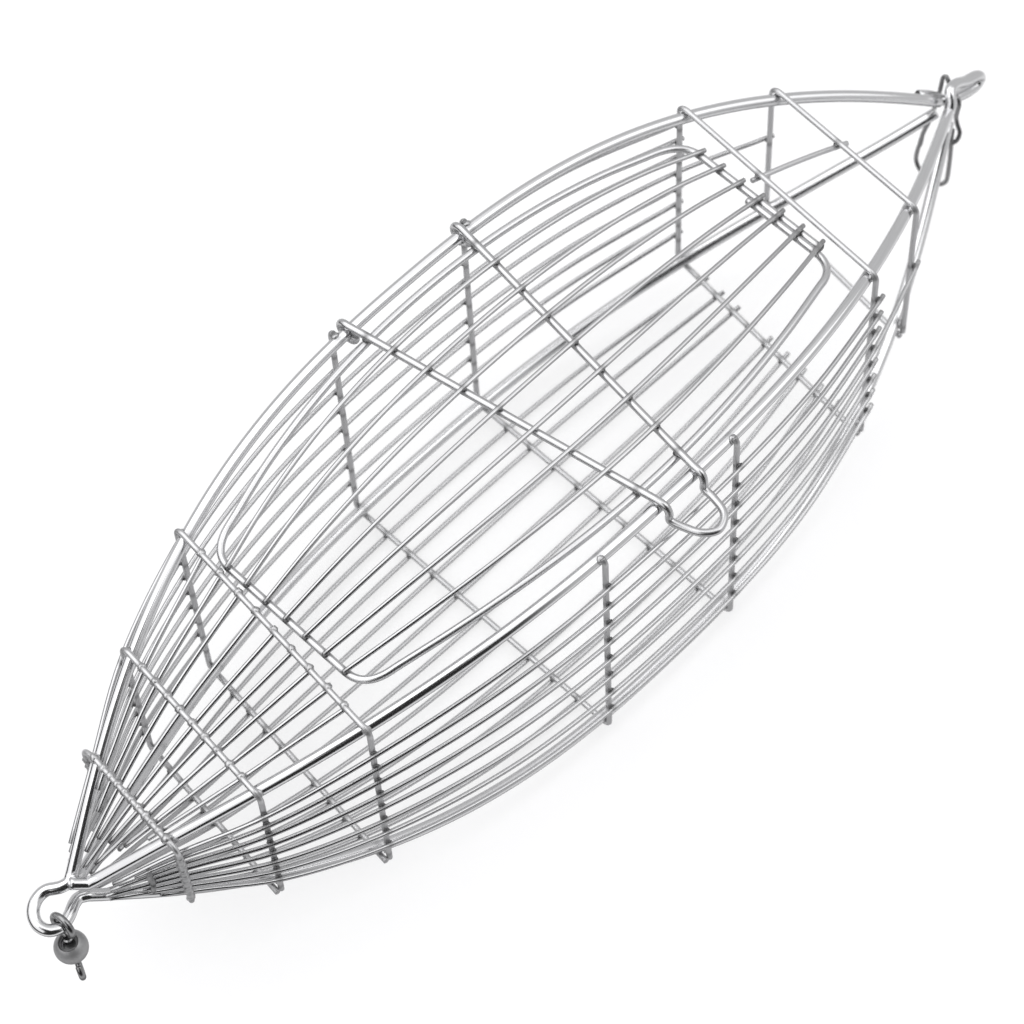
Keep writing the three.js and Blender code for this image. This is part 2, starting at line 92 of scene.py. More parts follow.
def flat_patches(corners, flat):
    """Groups triangles that lie in one plane, as sets of corner numbers."""
    root = list(range(len(corners)))

    def find(i):
        while root[i] != i:
            root[i] = root[root[i]]
            i = root[i]
        return i

    for a, b in flat:
        root[find(a)] = find(b)
    patches = {}
    for i, face in enumerate(corners):
        patches.setdefault(find(i), set()).update(face)
    return list(patches.values())


def end_caps(points, corners, flat):
    """The rod's end polygons, as (radius, corner numbers): all corners equally far from their middle."""
    caps = []
    for patch in flat_patches(corners, flat):
        if len(patch) not in ROD_SIDES:
            continue
        ring = points[sorted(patch)]
        reach = np.linalg.norm(ring - ring.mean(0), axis=1)
        if reach.max() - reach.min() < CAP_SLACK * reach.max():
            caps.append((reach.mean(), sorted(patch)))
    return sorted(caps, key=lambda cap: (round(cap[0], 6), min(points[cap[1], 0])))


def centreline(obj):
    """(points, radius) of a CAD rod: the middles of its rings, walked from one end cap."""
    points, neighbours, corners, flat = merged_corners(obj)
    radius, ring = end_caps(points, corners, flat)[0]
    sides = len(ring)
    seen = set(ring)
    middles = [points[ring].mean(0)]
    while True:
        ring = sorted({n for v in ring for n in neighbours[v]} - seen)
        if len(ring) != sides:
            break
        seen.update(ring)
        middles.append(points[ring].mean(0))
    return np.array(middles), radius


# ---- smoothing it --------------------------------------------------------------------------
STRAIGHT_RATIO = 2.5           # a run this much longer than its neighbour stays straight
TURN_STEP = math.radians(7)    # sampling round bends
RUN_STEP = 2.5 * MM            # sampling along runs
FINE_STEP = 0.25 * MM          # sampling for the search for crossings
TANGENT_REACH = 0.2 * MM


def propped(points):
    """Adds a point near each end of a long run beside a short one, so that it stays straight."""
    gaps = np.linalg.norm(np.diff(points, axis=0), axis=1)
    out = [points[0]]
    for i, gap in enumerate(gaps):
        a, b = points[i], points[i + 1]
        before = gaps[i - 1] if i > 0 else gap
        after = gaps[i + 1] if i + 1 < len(gaps) else gap
        if gap > STRAIGHT_RATIO * before:
            out.append(a + (b - a) * before / gap)
        if gap > STRAIGHT_RATIO * after:
            out.append(b - (b - a) * after / gap)
        out.append(b)
    return np.array(out)


def spline(points, samples):
    """A centripetal Catmull-Rom spline; samples says how many steps each span gets."""
    first = 2 * points[0] - points[1]
    last = 2 * points[-1] - points[-2]
    p = np.vstack([first, points, last])
    out = [points[0]]
    for i, count in enumerate(samples):
        p0, p1, p2, p3 = p[i:i + 4]
        t0 = 0.0
        t1 = t0 + np.linalg.norm(p1 - p0) ** 0.5
        t2 = t1 + np.linalg.norm(p2 - p1) ** 0.5
        t3 = t2 + np.linalg.norm(p3 - p2) ** 0.5
        for t in np.linspace(t1, t2, count + 1)[1:]:
            a1 = (t1 - t) / (t1 - t0) * p0 + (t - t0) / (t1 - t0) * p1
            a2 = (t2 - t) / (t2 - t1) * p1 + (t - t1) / (t2 - t1) * p2
            a3 = (t3 - t) / (t3 - t2) * p2 + (t - t2) / (t3 - t2) * p3
            b1 = (t2 - t) / (t2 - t0) * a1 + (t - t0) / (t2 - t0) * a2
            b2 = (t3 - t) / (t3 - t1) * a2 + (t - t1) / (t3 - t1) * a3
            out.append((t2 - t) / (t2 - t1) * b1 + (t - t1) / (t2 - t1) * b2)
    return np.array(out)


def span_samples(points):
    """Steps for each span: by its length, and by how much the path turns at its ends."""
    d = np.diff(points, axis=0)
    gaps = np.linalg.norm(d, axis=1)
    d = d / gaps[:, None]
    turns = np.arccos(np.clip((d[1:] * d[:-1]).sum(1), -1, 1))
    turns = np.concatenate([[0], turns, [0]])
    bend = np.maximum(turns[:-1], turns[1:])
    return [max(1, int(np.ceil(g / RUN_STEP)), int(np.ceil(t / TURN_STEP))) for g, t in zip(gaps, bend)]


class Wire:
    """One wire's smooth centreline, measured along its length, and where its welds are on it."""

    def __init__(self, name, points, radius):
        self.name = name
        self.radius = radius
        knots = propped(points)
        self.path = spline(knots, span_samples(knots))
        steps = np.linalg.norm(np.diff(self.path, axis=0), axis=1)
        self.along = np.concatenate([[0], np.cumsum(steps)])
        self.length = self.along[-1]
        self.welds = []
        self.fine_s = np.arange(0, self.length, FINE_STEP)
        self.fine = self.at(self.fine_s)
        self.lo, self.hi = self.fine.min(0), self.fine.max(0)

    def at(self, s):
        return np.stack([np.interp(s, self.along, self.path[:, k]) for k in range(3)], axis=-1)

    def tangent(self, s):
        d = self.at(min(s + TANGENT_REACH, self.length)) - self.at(max(s - TANGENT_REACH, 0))
        return d / np.linalg.norm(d)


# ---- sweeping it as round wire -------------------------------------------------------------
HEAVY_RADIUS = 0.8 * MM
HEAVY_SIDES, THIN_SIDES = 24, 14
SHEAR_BEVEL = 0.16             # share of the radius that a cut end is rounded by
WELD_RINGS = (0, 0.3, 0.6, 1.0, 1.5, 2.2)  # millimetres each side of a weld
CLOSEST_RINGS = 0.06 * MM
STEEP = 0.8                    # a wire that starts steeper than this has its first normal along X, not Z
STAIN_AND_SHADE_LENGTH = 0.6 * MM        # how far a weld's heat stain and painted shade spread along a wire, and a cut end's
END_STAIN_AND_SHADE = 0.35 * MM          # and a cut end's
# how dark a cut end is drawn: heat stain and painted shade together
END_STAIN_AND_SHADE_STRENGTH = 0.55


def place_object(name, data):
    """A new object in the scene: a mesh, a lamp, a camera, or an empty mark."""
    obj = bpy.data.objects.new(name, data)
    bpy.context.scene.collection.objects.link(obj)
    return obj


def tube_faces(rows, sides):
    """Quads between rings of points, ring after ring, then the first and the last ring's end caps."""
    faces = []
    for i in range(rows - 1):
        for k in range(sides):
            n = (k + 1) % sides
            faces.append((i * sides + k, i * sides + n, (i + 1) * sides + n, (i + 1) * sides + k))
    faces.append(tuple(reversed(range(sides))))
    faces.append(tuple(range((rows - 1) * sides, rows * sides)))
    return faces


def tube_uvs(marks, sides):
    """(share of the way round, mark) at each corner of tube_faces."""
    uvs = []
    for v0, v1 in zip(marks, marks[1:]):
        for k in range(sides):
            u0, u1 = k / sides, (k + 1) / sides
            uvs += [(u0, v0), (u1, v0), (u1, v1), (u0, v1)]
    uvs += [(0.5, marks[0])] * sides + [(0.5, marks[-1])] * sides
    return np.array(uvs, np.float32).ravel()


def sample_stations(wire):
    """Where rings go along a wire: its own samples, closer ones by each weld, and its bevelled ends."""
    stations = list(wire.along)
    for s in wire.welds:
        for step in WELD_RINGS:
            stations += [s - step * MM, s + step * MM]
    bevel = SHEAR_BEVEL * wire.radius
    stations += [bevel, wire.length - bevel]
    stations = sorted(s for s in stations if 0 <= s <= wire.length)
    kept = [0.0]
    for s in stations:
        if s - kept[-1] > CLOSEST_RINGS:
            kept.append(s)
    kept[-1] = wire.length
    return np.array(kept)


def transported_normals(points):
    """Two normals to the path at each point, without twist."""
    d = np.gradient(points, axis=0)
    tangents = d / np.linalg.norm(d, axis=1)[:, None]
    start = np.array([1.0, 0.0, 0.0] if abs(tangents[0][2]) > STEEP else [0.0, 0.0, 1.0])
    normal = start - tangents[0] * np.dot(start, tangents[0])
    normals = []
    for t in tangents:
        normal = normal - t * np.dot(normal, t)
        normal = normal / np.linalg.norm(normal)
        normals.append(normal)
    normals = np.array(normals)
    return normals, np.cross(tangents, normals)


def stain(wire, s):
    """0 to 1: how darkened the wire is at s by heat stain and painted shade, from its welds and its sheared
    ends.
    """
    distances = [abs(s - w) for w in wire.welds]
    # heat stain and painted shade of the crossing, fading away from each weld
    darkening = math.exp(-(min(distances) / STAIN_AND_SHADE_LENGTH) ** 2) if distances else 0.0
    end = min(s, wire.length - s)
    return min(1.0, darkening + END_STAIN_AND_SHADE_STRENGTH * math.exp(-end / END_STAIN_AND_SHADE))


def sweep(name, wire):
    """The round wire, with a UV map (round, along in millimetres) and an attribute for its heat stain and
    painted shade.
    """
    sides = HEAVY_SIDES if wire.radius > HEAVY_RADIUS else THIN_SIDES
    stations = sample_stations(wire)
    points = wire.at(stations)
    normals, binormals = transported_normals(points)
    angles = np.linspace(0, 2 * math.pi, sides, endpoint=False)[None, :, None]
    across = np.cos(angles) * normals[:, None, :] + np.sin(angles) * binormals[:, None, :]
    radii = np.full(len(stations), wire.radius)
    radii[0] = radii[-1] = wire.radius * (1 - SHEAR_BEVEL)
    verts = (points[:, None, :] + radii[:, None, None] * across).reshape(-1, 3)
    faces = tube_faces(len(stations), sides)
    mesh = bpy.data.meshes.new(name)
    mesh.from_pydata(verts.tolist(), [], faces)
    mesh.uv_layers.new(name="wire_uv").data.foreach_set("uv", tube_uvs(stations / MM, sides))
    # per ring: how much heat stain and painted shade it carries
    darkening = np.repeat([stain(wire, s) for s in stations], sides).astype(np.float32)
    mesh.attributes.new("stain", "FLOAT", "POINT").data.foreach_set("value", darkening)
    smooth = np.ones(len(faces), bool)
    smooth[-2:] = False
    mesh.polygons.foreach_set("use_smooth", smooth)
    mesh.update()
    return place_object(name, mesh)


# ---- spot welds ----------------------------------------------------------------------------
WELD_REACH = 0.16 * MM         # air between two wires' surfaces that still counts as a weld
WELD_ANGLE = math.cos(math.radians(24))
WELD_SPACING = 1.2 * MM        # two welds on one pair of wires lie at least this far apart
HOOP = "rib_1"
LAST_DECK_RIB = "rib_3"
DECK_END_LEAN = 0.1 * MM       # the lumps at the deck wires' ends lean towards the open nose
DECK_WELD_SHARE = 0.1          # how far a deck weld's middle is from the rib's towards the wire's
NUGGET_WIDTH = 1.05            # half a nugget's width, as a share of the thinner wire's radius,
NUGGET_SPREAD = 0.16 * MM      # and this much more
NUGGET_SHAPES = {              # width against the usual, thickness against the thinner wire's radius
    "deck": (1.3, 1.72),
    "rim": (1.15, 0.85),
    "mesh": (1.0, 0.75),
}
NUGGET_ROUND, NUGGET_ROWS = 10, 6
LUMP_HEIGHT = 0.28
LUMP_PITCH = 1.7
SEED_STEP = (3.1, 1.7)         # how far apart two nuggets' lumps are taken in the noise
SAME_POINT = 1e-6


def crossings(a, b):
    """Where wires a and b touch while running in clearly different directions: (s on a, s on b)."""
    reach = a.radius + b.radius + WELD_REACH
    if (a.lo > b.hi + reach).any() or (b.lo > a.hi + reach).any():
        return []
    tree = KDTree(len(b.fine))
    for i, p in enumerate(b.fine):
        tree.insert(p, i)
    tree.balance()
    near = [(tree.find(p), i) for i, p in enumerate(a.fine)]
    near = sorted((hit[2], i, hit[1]) for hit, i in near if hit[2] < reach)
    found = []
    for _, i, j in near:
        sa, sb = a.fine_s[i], b.fine_s[j]
        if any(abs(sa - other[0]) < WELD_SPACING for other in found):
            continue
        if abs(np.dot(a.tangent(sa), b.tangent(sb))) < WELD_ANGLE:
            found.append((sa, sb))
    return found


def weld_kind(a, b):
    """Fat pale lumps for the deck's and the hoop's welds, small pale ones for a rib on a heavy wire."""
    if any(name.startswith("deck_wire") or name == HOOP for name in (a.name, b.name)):
        return "deck"
    return "rim" if {SLOTS[a.name], SLOTS[b.name]} == {"rib_wire", "heavy_wire"} else "mesh"


def nugget_between(a, b, sa, sb, kind):
    """(centre, along a, along b, half width, half thickness) of the nugget at one crossing."""
    pa, pb = a.at(sa), b.at(sb)
    if kind == "deck":
        rib_point, wire_point = (pa, pb) if a.name.startswith("rib") else (pb, pa)
        centre = (1 - DECK_WELD_SHARE) * rib_point + DECK_WELD_SHARE * wire_point
        if LAST_DECK_RIB in (a.name, b.name):
            centre[0] += DECK_END_LEAN
    else:
        toward = (pb - pa) / np.linalg.norm(pb - pa)
        centre = (pa + toward * a.radius + pb - toward * b.radius) / 2
    reach = min(a.radius, b.radius)
    width, thickness = NUGGET_SHAPES[kind]
    usual = NUGGET_WIDTH * reach + NUGGET_SPREAD
    return centre, a.tangent(sa), b.tangent(sb), width * usual, thickness * reach


def find_welds(wires):
    """Marks each crossing on both wires, and returns the nuggets of each metal."""
    nuggets = {"burnt": [], "pale": []}
    for i, a in enumerate(wires):
        for b in wires[i + 1:]:
            for sa, sb in crossings(a, b):
                a.welds.append(sa)
                b.welds.append(sb)
                kind = weld_kind(a, b)
                # mesh welds get near-black nuggets: burnt weld metal, and painted shade in the crossing
                metal = "burnt" if kind == "mesh" else "pale"
                nuggets[metal].append(nugget_between(a, b, sa, sb, kind))
    return nuggets


def nugget_mesh(centre, along_a, along_b, width, thickness, seed):
    """A lumpy lens of weld metal in the corners between two crossing wires."""
    normal = np.cross(along_a, along_b)
    normal = normal / np.linalg.norm(normal)
    across = np.cross(normal, along_a)
    shift = Vector((seed * SEED_STEP[0], seed * SEED_STEP[1], 0))
    verts, faces = [], []
    for row in range(NUGGET_ROWS + 1):
        polar = math.pi * row / NUGGET_ROWS
        for k in range(NUGGET_ROUND):
            angle = 2 * math.pi * k / NUGGET_ROUND
            d = (math.sin(polar) * math.cos(angle), math.sin(polar) * math.sin(angle), math.cos(polar))
            lump = 1 + LUMP_HEIGHT * noise.noise(Vector(d) * LUMP_PITCH + shift)
            offset = along_a * width * d[0] + across * width * d[1] + normal * thickness * d[2]
            verts.append(centre + offset * lump)
    for row in range(NUGGET_ROWS):
        for k in range(NUGGET_ROUND):
            n = (k + 1) % NUGGET_ROUND
            r = row * NUGGET_ROUND
            faces.append((r + k, r + NUGGET_ROUND + k, r + NUGGET_ROUND + n, r + n))
    return verts, faces


def join_nuggets(name, nuggets):
    """One metal's weld nuggets of one body, as one mesh."""
    verts, faces = [], []
    for seed, nugget in enumerate(nuggets):
        more, quads = nugget_mesh(*nugget, seed)
        faces += [tuple(i + len(verts) for i in quad) for quad in quads]
        verts += more
    mesh = bpy.data.meshes.new(name)
    mesh.from_pydata([tuple(v) for v in verts], [], faces)
    bm = bmesh.new()
    bm.from_mesh(mesh)
    bmesh.ops.remove_doubles(bm, verts=bm.verts, dist=SAME_POINT)
    bmesh.ops.recalc_face_normals(bm, faces=bm.faces)
    bm.to_mesh(mesh)
    bm.free()
    mesh.polygons.foreach_set("use_smooth", [True] * len(mesh.polygons))
    return place_object(name, mesh)


# ---- materials -----------------------------------------------------------------------------
DIE_LINES = (22.0, 0.12)       # noise scale round the wire, and per millimetre along it
CLOUDS = (90.0, 3.0)           # noise: scale per metre, and detail
SPECKS = (2600.0, 2.0)
LUMPS = (1500.0, 3.0)
GRIT = (2400.0, 4.0)
LUMP_BUMP = (0.4, 0.06 * MM)   # strength and height
GRIT_BUMP = (0.3, 0.02 * MM)
TONE_SWING = 0.07              # of the die lines, as a share of the wire's tone
POLISH_SWING = 0.1
STAIN_AND_SHADE_DULLING = 0.3
STAIN_AND_SHADE_RAGGED = (0.9, 0.5)      # the specks' share in a stain and its painted shade, and the even rest
BEAD_TONES = (0.36, 0.46)
# painted shade: how dark the bead is drawn down inside its mouth
RECESS_SHADE_TONE = 0.27
BEAD_ROUGHNESS, RECESS_SHINE = 0.5, 0.2


def new_material(name):
    material = bpy.data.materials.new(name)
    material.use_nodes = True
    tree = material.node_tree
    return material, tree, tree.nodes["Principled BSDF"]


def link(tree, out, into):
    tree.links.new(out, into)


def feed(tree, value, socket):
    """Gives a socket a number, a plain (r, g, b), or another node's output."""
    if isinstance(value, tuple):
        socket.default_value = (*value, 1)
    elif isinstance(value, (int, float)):
        socket.default_value = value
    else:
        link(tree, value, socket)


def math_node(tree, operation, *values):
    node = tree.nodes.new("ShaderNodeMath")
    node.operation = operation
    for socket, value in zip(node.inputs, values):
        feed(tree, value, socket)
    return node.outputs[0]


def noise_node(tree, vector, scale, detail):
    node = tree.nodes.new("ShaderNodeTexNoise")
    node.inputs["Scale"].default_value = scale
    node.inputs["Detail"].default_value = detail
    link(tree, vector, node.inputs["Vector"])
    return node.outputs["Fac"]


def mix_node(tree, factor, a, b):
    node = tree.nodes.new("ShaderNodeMix")
    node.data_type = "RGBA"
    for name, value in (("Factor", factor), ("A", a), ("B", b)):
        feed(tree, value, node.inputs[name])
    return node.outputs["Result"]


def object_place(tree):
    """Where a point is on its own object, which doesn't change as the object moves."""
    return tree.nodes.new("ShaderNodeTexCoord").outputs["Object"]


def attribute(tree, name):
    node = tree.nodes.new("ShaderNodeAttribute")
    node.attribute_name = name
    return node.outputs["Fac"]


def add_bump(tree, shader, height, strength, distance):
    bump = tree.nodes.new("ShaderNodeBump")
    bump.inputs["Strength"].default_value = strength
    bump.inputs["Distance"].default_value = distance
    link(tree, height, bump.inputs["Height"])
    link(tree, bump.outputs["Normal"], shader.inputs["Normal"])


def grey(value):
    return (value, value, value * 1.01)


def drawn_steel(name, tone, roughness, stain_and_shade_tone, stain_and_shade_depth):
    """Drawn wire: faint die lines along it, slow changes of polish, and heat stains by the welds, darkened
    further as painted shade of the crossings.
    """
    material, tree, shader = new_material(name)
    uv = tree.nodes.new("ShaderNodeUVMap")
    uv.uv_map = "wire_uv"
    stretch = tree.nodes.new("ShaderNodeMapping")
    stretch.inputs["Scale"].default_value = (*DIE_LINES, 1.0)
    link(tree, uv.outputs["UV"], stretch.inputs["Vector"])
    lines = noise_node(tree, stretch.outputs["Vector"], 1.0, 2.0)
    place = object_place(tree)
    cloud = noise_node(tree, place, *CLOUDS)
    specks = noise_node(tree, place, *SPECKS)
    ragged = math_node(tree, "MULTIPLY_ADD", specks, *STAIN_AND_SHADE_RAGGED)
    stain_and_shade_amount = math_node(tree, "MULTIPLY", attribute(tree, "stain"), ragged)
    stain_and_shade_amount = math_node(tree, "MULTIPLY", math_node(tree, "MINIMUM", stain_and_shade_amount, 1.0), stain_and_shade_depth)
    clean = mix_node(tree, lines, grey(tone * (1 - TONE_SWING)), grey(tone * (1 + TONE_SWING)))
    # the base colour goes dark by the welds and cut ends: heat stain and painted shade
    link(tree, mix_node(tree, stain_and_shade_amount, clean, grey(stain_and_shade_tone)), shader.inputs["Base Color"])
    polish = math_node(tree, "MULTIPLY_ADD", cloud, POLISH_SWING, roughness - POLISH_SWING / 2)
    dulled = math_node(tree, "MULTIPLY_ADD", stain_and_shade_amount, STAIN_AND_SHADE_DULLING, polish)
    link(tree, dulled, shader.inputs["Roughness"])
    shader.inputs["Metallic"].default_value = 1.0
    return material


def weld_metal(name, dark, pale, roughness):
    """A weld nugget: dull and lumpy."""
    material, tree, shader = new_material(name)
    lumps = noise_node(tree, object_place(tree), *LUMPS)
    link(tree, mix_node(tree, lumps, grey(dark), grey(pale)), shader.inputs["Base Color"])
    shader.inputs["Metallic"].default_value = 0.95
    shader.inputs["Roughness"].default_value = roughness
    add_bump(tree, shader, lumps, *LUMP_BUMP)
    return material


def satin_bead():
    """The swivel's ball: tumbled satin steel, with painted shade darkening it down inside its countersunk
    mouth, which is also shinier.
    """
    material, tree, shader = new_material("satin_bead")
    grit = noise_node(tree, object_place(tree), *GRIT)
    recess = attribute(tree, "recess")
    outside = mix_node(tree, grit, *(grey(tone) for tone in BEAD_TONES))
    # painted shade down inside the mouth
    link(tree, mix_node(tree, recess, outside, grey(RECESS_SHADE_TONE)), shader.inputs["Base Color"])
    shader.inputs["Metallic"].default_value = 0.9
    shine = math_node(tree, "MULTIPLY_ADD", recess, -RECESS_SHINE, BEAD_ROUGHNESS)
    link(tree, shine, shader.inputs["Roughness"])
    add_bump(tree, shader, grit, *GRIT_BUMP)
    return material


# ---- the wires and their welds -------------------------------------------------------------
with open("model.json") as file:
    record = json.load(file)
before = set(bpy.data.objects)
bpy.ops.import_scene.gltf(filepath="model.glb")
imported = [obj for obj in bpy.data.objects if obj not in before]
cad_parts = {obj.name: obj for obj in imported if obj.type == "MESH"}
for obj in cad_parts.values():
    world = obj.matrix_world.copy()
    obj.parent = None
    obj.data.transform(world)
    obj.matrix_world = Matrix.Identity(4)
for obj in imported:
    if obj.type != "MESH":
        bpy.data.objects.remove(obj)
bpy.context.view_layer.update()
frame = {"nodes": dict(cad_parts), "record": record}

BODIES = frame["record"]["behaviour"]["bodies"]
JOINTS = {j["name"]: j for j in frame["record"]["behaviour"]["joints"]}
SLOTS = {s["node"]: s["material_slot"] for s in frame["record"]["subparts"]}
BEAD = "swivel_bead"
TIE = "nose_wall_tie"
WELDED = ("cage", "lid")
STEELS = {  # by slot: name, tone, roughness, tone where stained and painted shaded, depth of the stains and painted shade
    "heavy_wire": drawn_steel("polished_heavy_wire", 0.76, 0.15, 0.2, 0.35),
    "rib_wire": drawn_steel("rib_wire", 0.66, 0.42, 0.12, 0.5),
    "mesh_wire": drawn_steel("mesh_wire", 0.57, 0.18, 0.12, 0.5),
    "lid_frame_wire": drawn_steel("lid_frame_wire", 0.66, 0.27, 0.08, 0.85),
    "latch_wire": drawn_steel("latch_wire", 0.62, 0.28, 0.12, 0.6),
    "swivel_wire": drawn_steel("swivel_wire", 0.3, 0.22, 0.1, 0.5),
    "snap_wire": drawn_steel("snap_wire", 0.26, 0.3, 0.1, 0.5),
}
TIE_STEEL = drawn_steel("tie_wire", 0.4, 0.35, 0.1, 0.9)
WELD_METALS = {  # name, dark tone, pale tone, roughness
    # near black: burnt weld metal, and painted shade in the crossings
    "burnt": weld_metal("burnt_weld", 0.07, 0.3, 0.42),
    "pale": weld_metal("pale_weld", 0.3, 0.75, 0.36),
}


def build_body(body, nodes):
    """Sweeps one body's wires again, with nuggets at their crossings if it is a welded body."""
    wires = [Wire(n, *centreline(frame["nodes"][n])) for n in nodes if n != BEAD]
    nuggets = find_welds(wires) if body in WELDED else {}
    for wire in wires:
        slot = SLOTS[wire.name]
        piece = sweep("round_" + wire.name, wire)
        piece.data.materials.append(TIE_STEEL if wire.name == TIE else STEELS[slot])
        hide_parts(wire.name)
        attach(piece, body)
    for metal, group in nuggets.items():
        if group:
            piece = join_nuggets(f"{body}_{metal}_welds", group)
            piece.data.materials.append(WELD_METALS[metal])
            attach(piece, body)


# ---- the swivel's bead and the snap's splice -----------------------------------------------
BEAD_RADIUS = 2.7 * MM
BEAD_STEP = 3                  # degrees between the bead's rings
BEAD_SIDES, MOUTH_SIDES, LOWER_MOUTH_SIDES = 72, 56, 40
COLLAR_SIDES, SPLICE_SIDES = 32, 20
BEAD_EDGE, FITTING_EDGE = 28, 35  # turns of fewer degrees than this are smooth
MOUTH_TILT = math.radians(22)  # the big mouth looks this far aside from the swivel's axis
RECESS_START = 0.985           # what lies this deep, as a share of the radius, is recess and gets painted shade, fully so this much deeper
RECESS_FADE = 0.12             # fully so this much deeper

# Turned outlines: (along, radius) in millimetres
MOUTH = ((0.55, 0.98), (1.18, 1.0), (1.2, 1.22), (1.62, 1.26), (1.64, 1.42), (2.0, 1.5), (2.2, 1.64),
         (3.2, 2.4))
LOWER_MOUTH = ((0.9, 0.72), (1.9, 0.72), (2.3, 1.15), (3.2, 1.5))
STEM_COLLAR = ((1.35, 0.62), (1.5, 0.86), (1.95, 0.82), (2.15, 0.6))
SPLICE = ((-0.75, 0.41), (-0.7, 0.45), (0.7, 0.45), (0.75, 0.41))
FITTING_STAIN = 0.15


def lathe(name, outline, centre, axis, sides):
    """A closed ring or plug: the outline turned round an axis."""
    turn = Vector((0, 0, 1)).rotation_difference(Vector(axis)).to_matrix()
    verts = []
    for along, radius in outline:
        for k in range(sides):
            angle = 2 * math.pi * k / sides
            local = Vector((radius * math.cos(angle), radius * math.sin(angle), along)) * MM
            verts.append(Vector(centre) + turn @ local)
    mesh = bpy.data.meshes.new(name)
    mesh.from_pydata([tuple(v) for v in verts], [], tube_faces(len(outline), sides))
    return place_object(name, mesh)


def carve(obj, cutter):
    """Cuts one closed mesh out of another, and throws the cutter away."""
    modifier = obj.modifiers.new("carve", "BOOLEAN")
    modifier.operation = "DIFFERENCE"
    modifier.solver = "EXACT"
    modifier.object = cutter
    carved = bpy.data.meshes.new_from_object(obj.evaluated_get(bpy.context.evaluated_depsgraph_get()))
    obj.modifiers.clear()
    old = obj.data
    obj.data = carved
    bpy.data.meshes.remove(old)
    bpy.data.objects.remove(cutter)


def smooth_but_edges(mesh, degrees):
    """Shades a mesh smooth, save where it turns by this much or more."""
    mesh.polygons.foreach_set("use_smooth", [True] * len(mesh.polygons))
    mesh.set_sharp_from_angle(angle=math.radians(degrees))


def build_bead():
    """The ball, with a stepped mouth for the upper eye's stem and a plain one for the lower eye's."""
    joint = JOINTS["bead_spin"]
    centre, axis = Vector(joint["pos_m"]), Vector(joint["axis"]).normalized()
    aside = Vector(VIEW_BACK) - axis * axis.dot(Vector(VIEW_BACK))
    mouth = (axis * math.cos(MOUTH_TILT) + aside.normalized() * math.sin(MOUTH_TILT)).normalized()
    r = BEAD_RADIUS / MM
    turns = [math.radians(t) for t in range(BEAD_STEP, 180, BEAD_STEP)]
    arc = [(-r * math.cos(t), r * math.sin(t)) for t in turns]
    bead = lathe("smooth_bead", arc, centre, axis, BEAD_SIDES)
    carve(bead, lathe("mouth", MOUTH, centre, mouth, MOUTH_SIDES))
    carve(bead, lathe("lower_mouth", LOWER_MOUTH, centre, -axis, LOWER_MOUTH_SIDES))
    mesh = bead.data
    reaches = [(v.co - centre).length / BEAD_RADIUS for v in mesh.vertices]
    # painted shade: how deep inside the mouth each point is, from nothing to full
    recess_shade_depths = [min(1.0, max(0.0, (RECESS_START - reach) / RECESS_FADE)) for reach in reaches]
    mesh.attributes.new("recess", "FLOAT", "POINT").data.foreach_set("value", recess_shade_depths)
    smooth_but_edges(mesh, BEAD_EDGE)
    mesh.materials.append(satin_bead())
    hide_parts(BEAD)
    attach(bead, "bead")


def finish_fitting(obj, slot, body):
    """A small added piece of turned wire: smooth but for its edges, with its steel, slot and body."""
    mesh = obj.data
    darkening = mesh.attributes.new("stain", "FLOAT", "POINT")
    darkening.data.foreach_set("value", [FITTING_STAIN] * len(mesh.vertices))
    smooth_but_edges(mesh, FITTING_EDGE)
    mesh.materials.append(STEELS[slot])
    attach(obj, body)


def build_stem_collar():
    """The swaged collar on the upper eye's stem, inside the bead's mouth."""
    joint = JOINTS["bead_spin"]
    axis = Vector(joint["axis"]).normalized()
    collar = lathe("stem_collar", STEM_COLLAR, joint["pos_m"], axis, COLLAR_SIDES)
    finish_fitting(collar, "swivel_wire", "swivel_head")


def build_splice():
    """A snug sleeve where the snap's sprung arm leaves its body."""
    joint = JOINTS["snap_gate_open"]
    sleeve = lathe("snap_splice", SPLICE, joint["pos_m"], joint["axis"], SPLICE_SIDES)
    finish_fitting(sleeve, "snap_wire", "snap")


# ---- floor and mirrored studio -------------------------------------------------------------
FLOOR_SIZE = 6.0
FLOOR_DROP = 0.05 * MM
FLOOR_TONE = 0.38              # the floor's own shade, lit; the rest of its brightness glows
ROOM_GLOW = 0.98               # what the camera and matt surfaces see round the floor
PLAIN_GLOW = 0.6               # this and the rest are what the wires mirror
FLOOR_GLOW = 0.85
BELOW_GLOW = 0.36
CEILING_GLOW = 1.4
OPEN_CEILING_GLOW = 0.8        # overhead, towards the open nose
WALL_GLOW = 1.15               # beyond the decked nose
CLOTH_GLOW = 0.03
CAMERA_GLOW = 0.04

# Where the mirrored things begin, as parts of a unit direction: none at the first number, all at the second
FLOOR_RISE = (-0.3, -0.48)
BELOW_RISE = (-0.7, -0.86)
CEILING_RISE = (0.6, 0.72)
OPEN_END = (0.3, 0.5)
DECKED_END = (-0.15, -0.35)
SCREEN_END = (0.22, 0.02)
SCREEN_SIDE = (-0.38, -0.55)
CAMERA_SPOT = (0.945, 0.97)

# Bands by height: from, to, and how soft their edges are
WALL_BAND = (0.2, 0.6, 0.06)
CLOTH_BAND = (-0.3, 0.1, 0.05)
SCREEN_BAND = (-0.15, 0.8, 0.06)


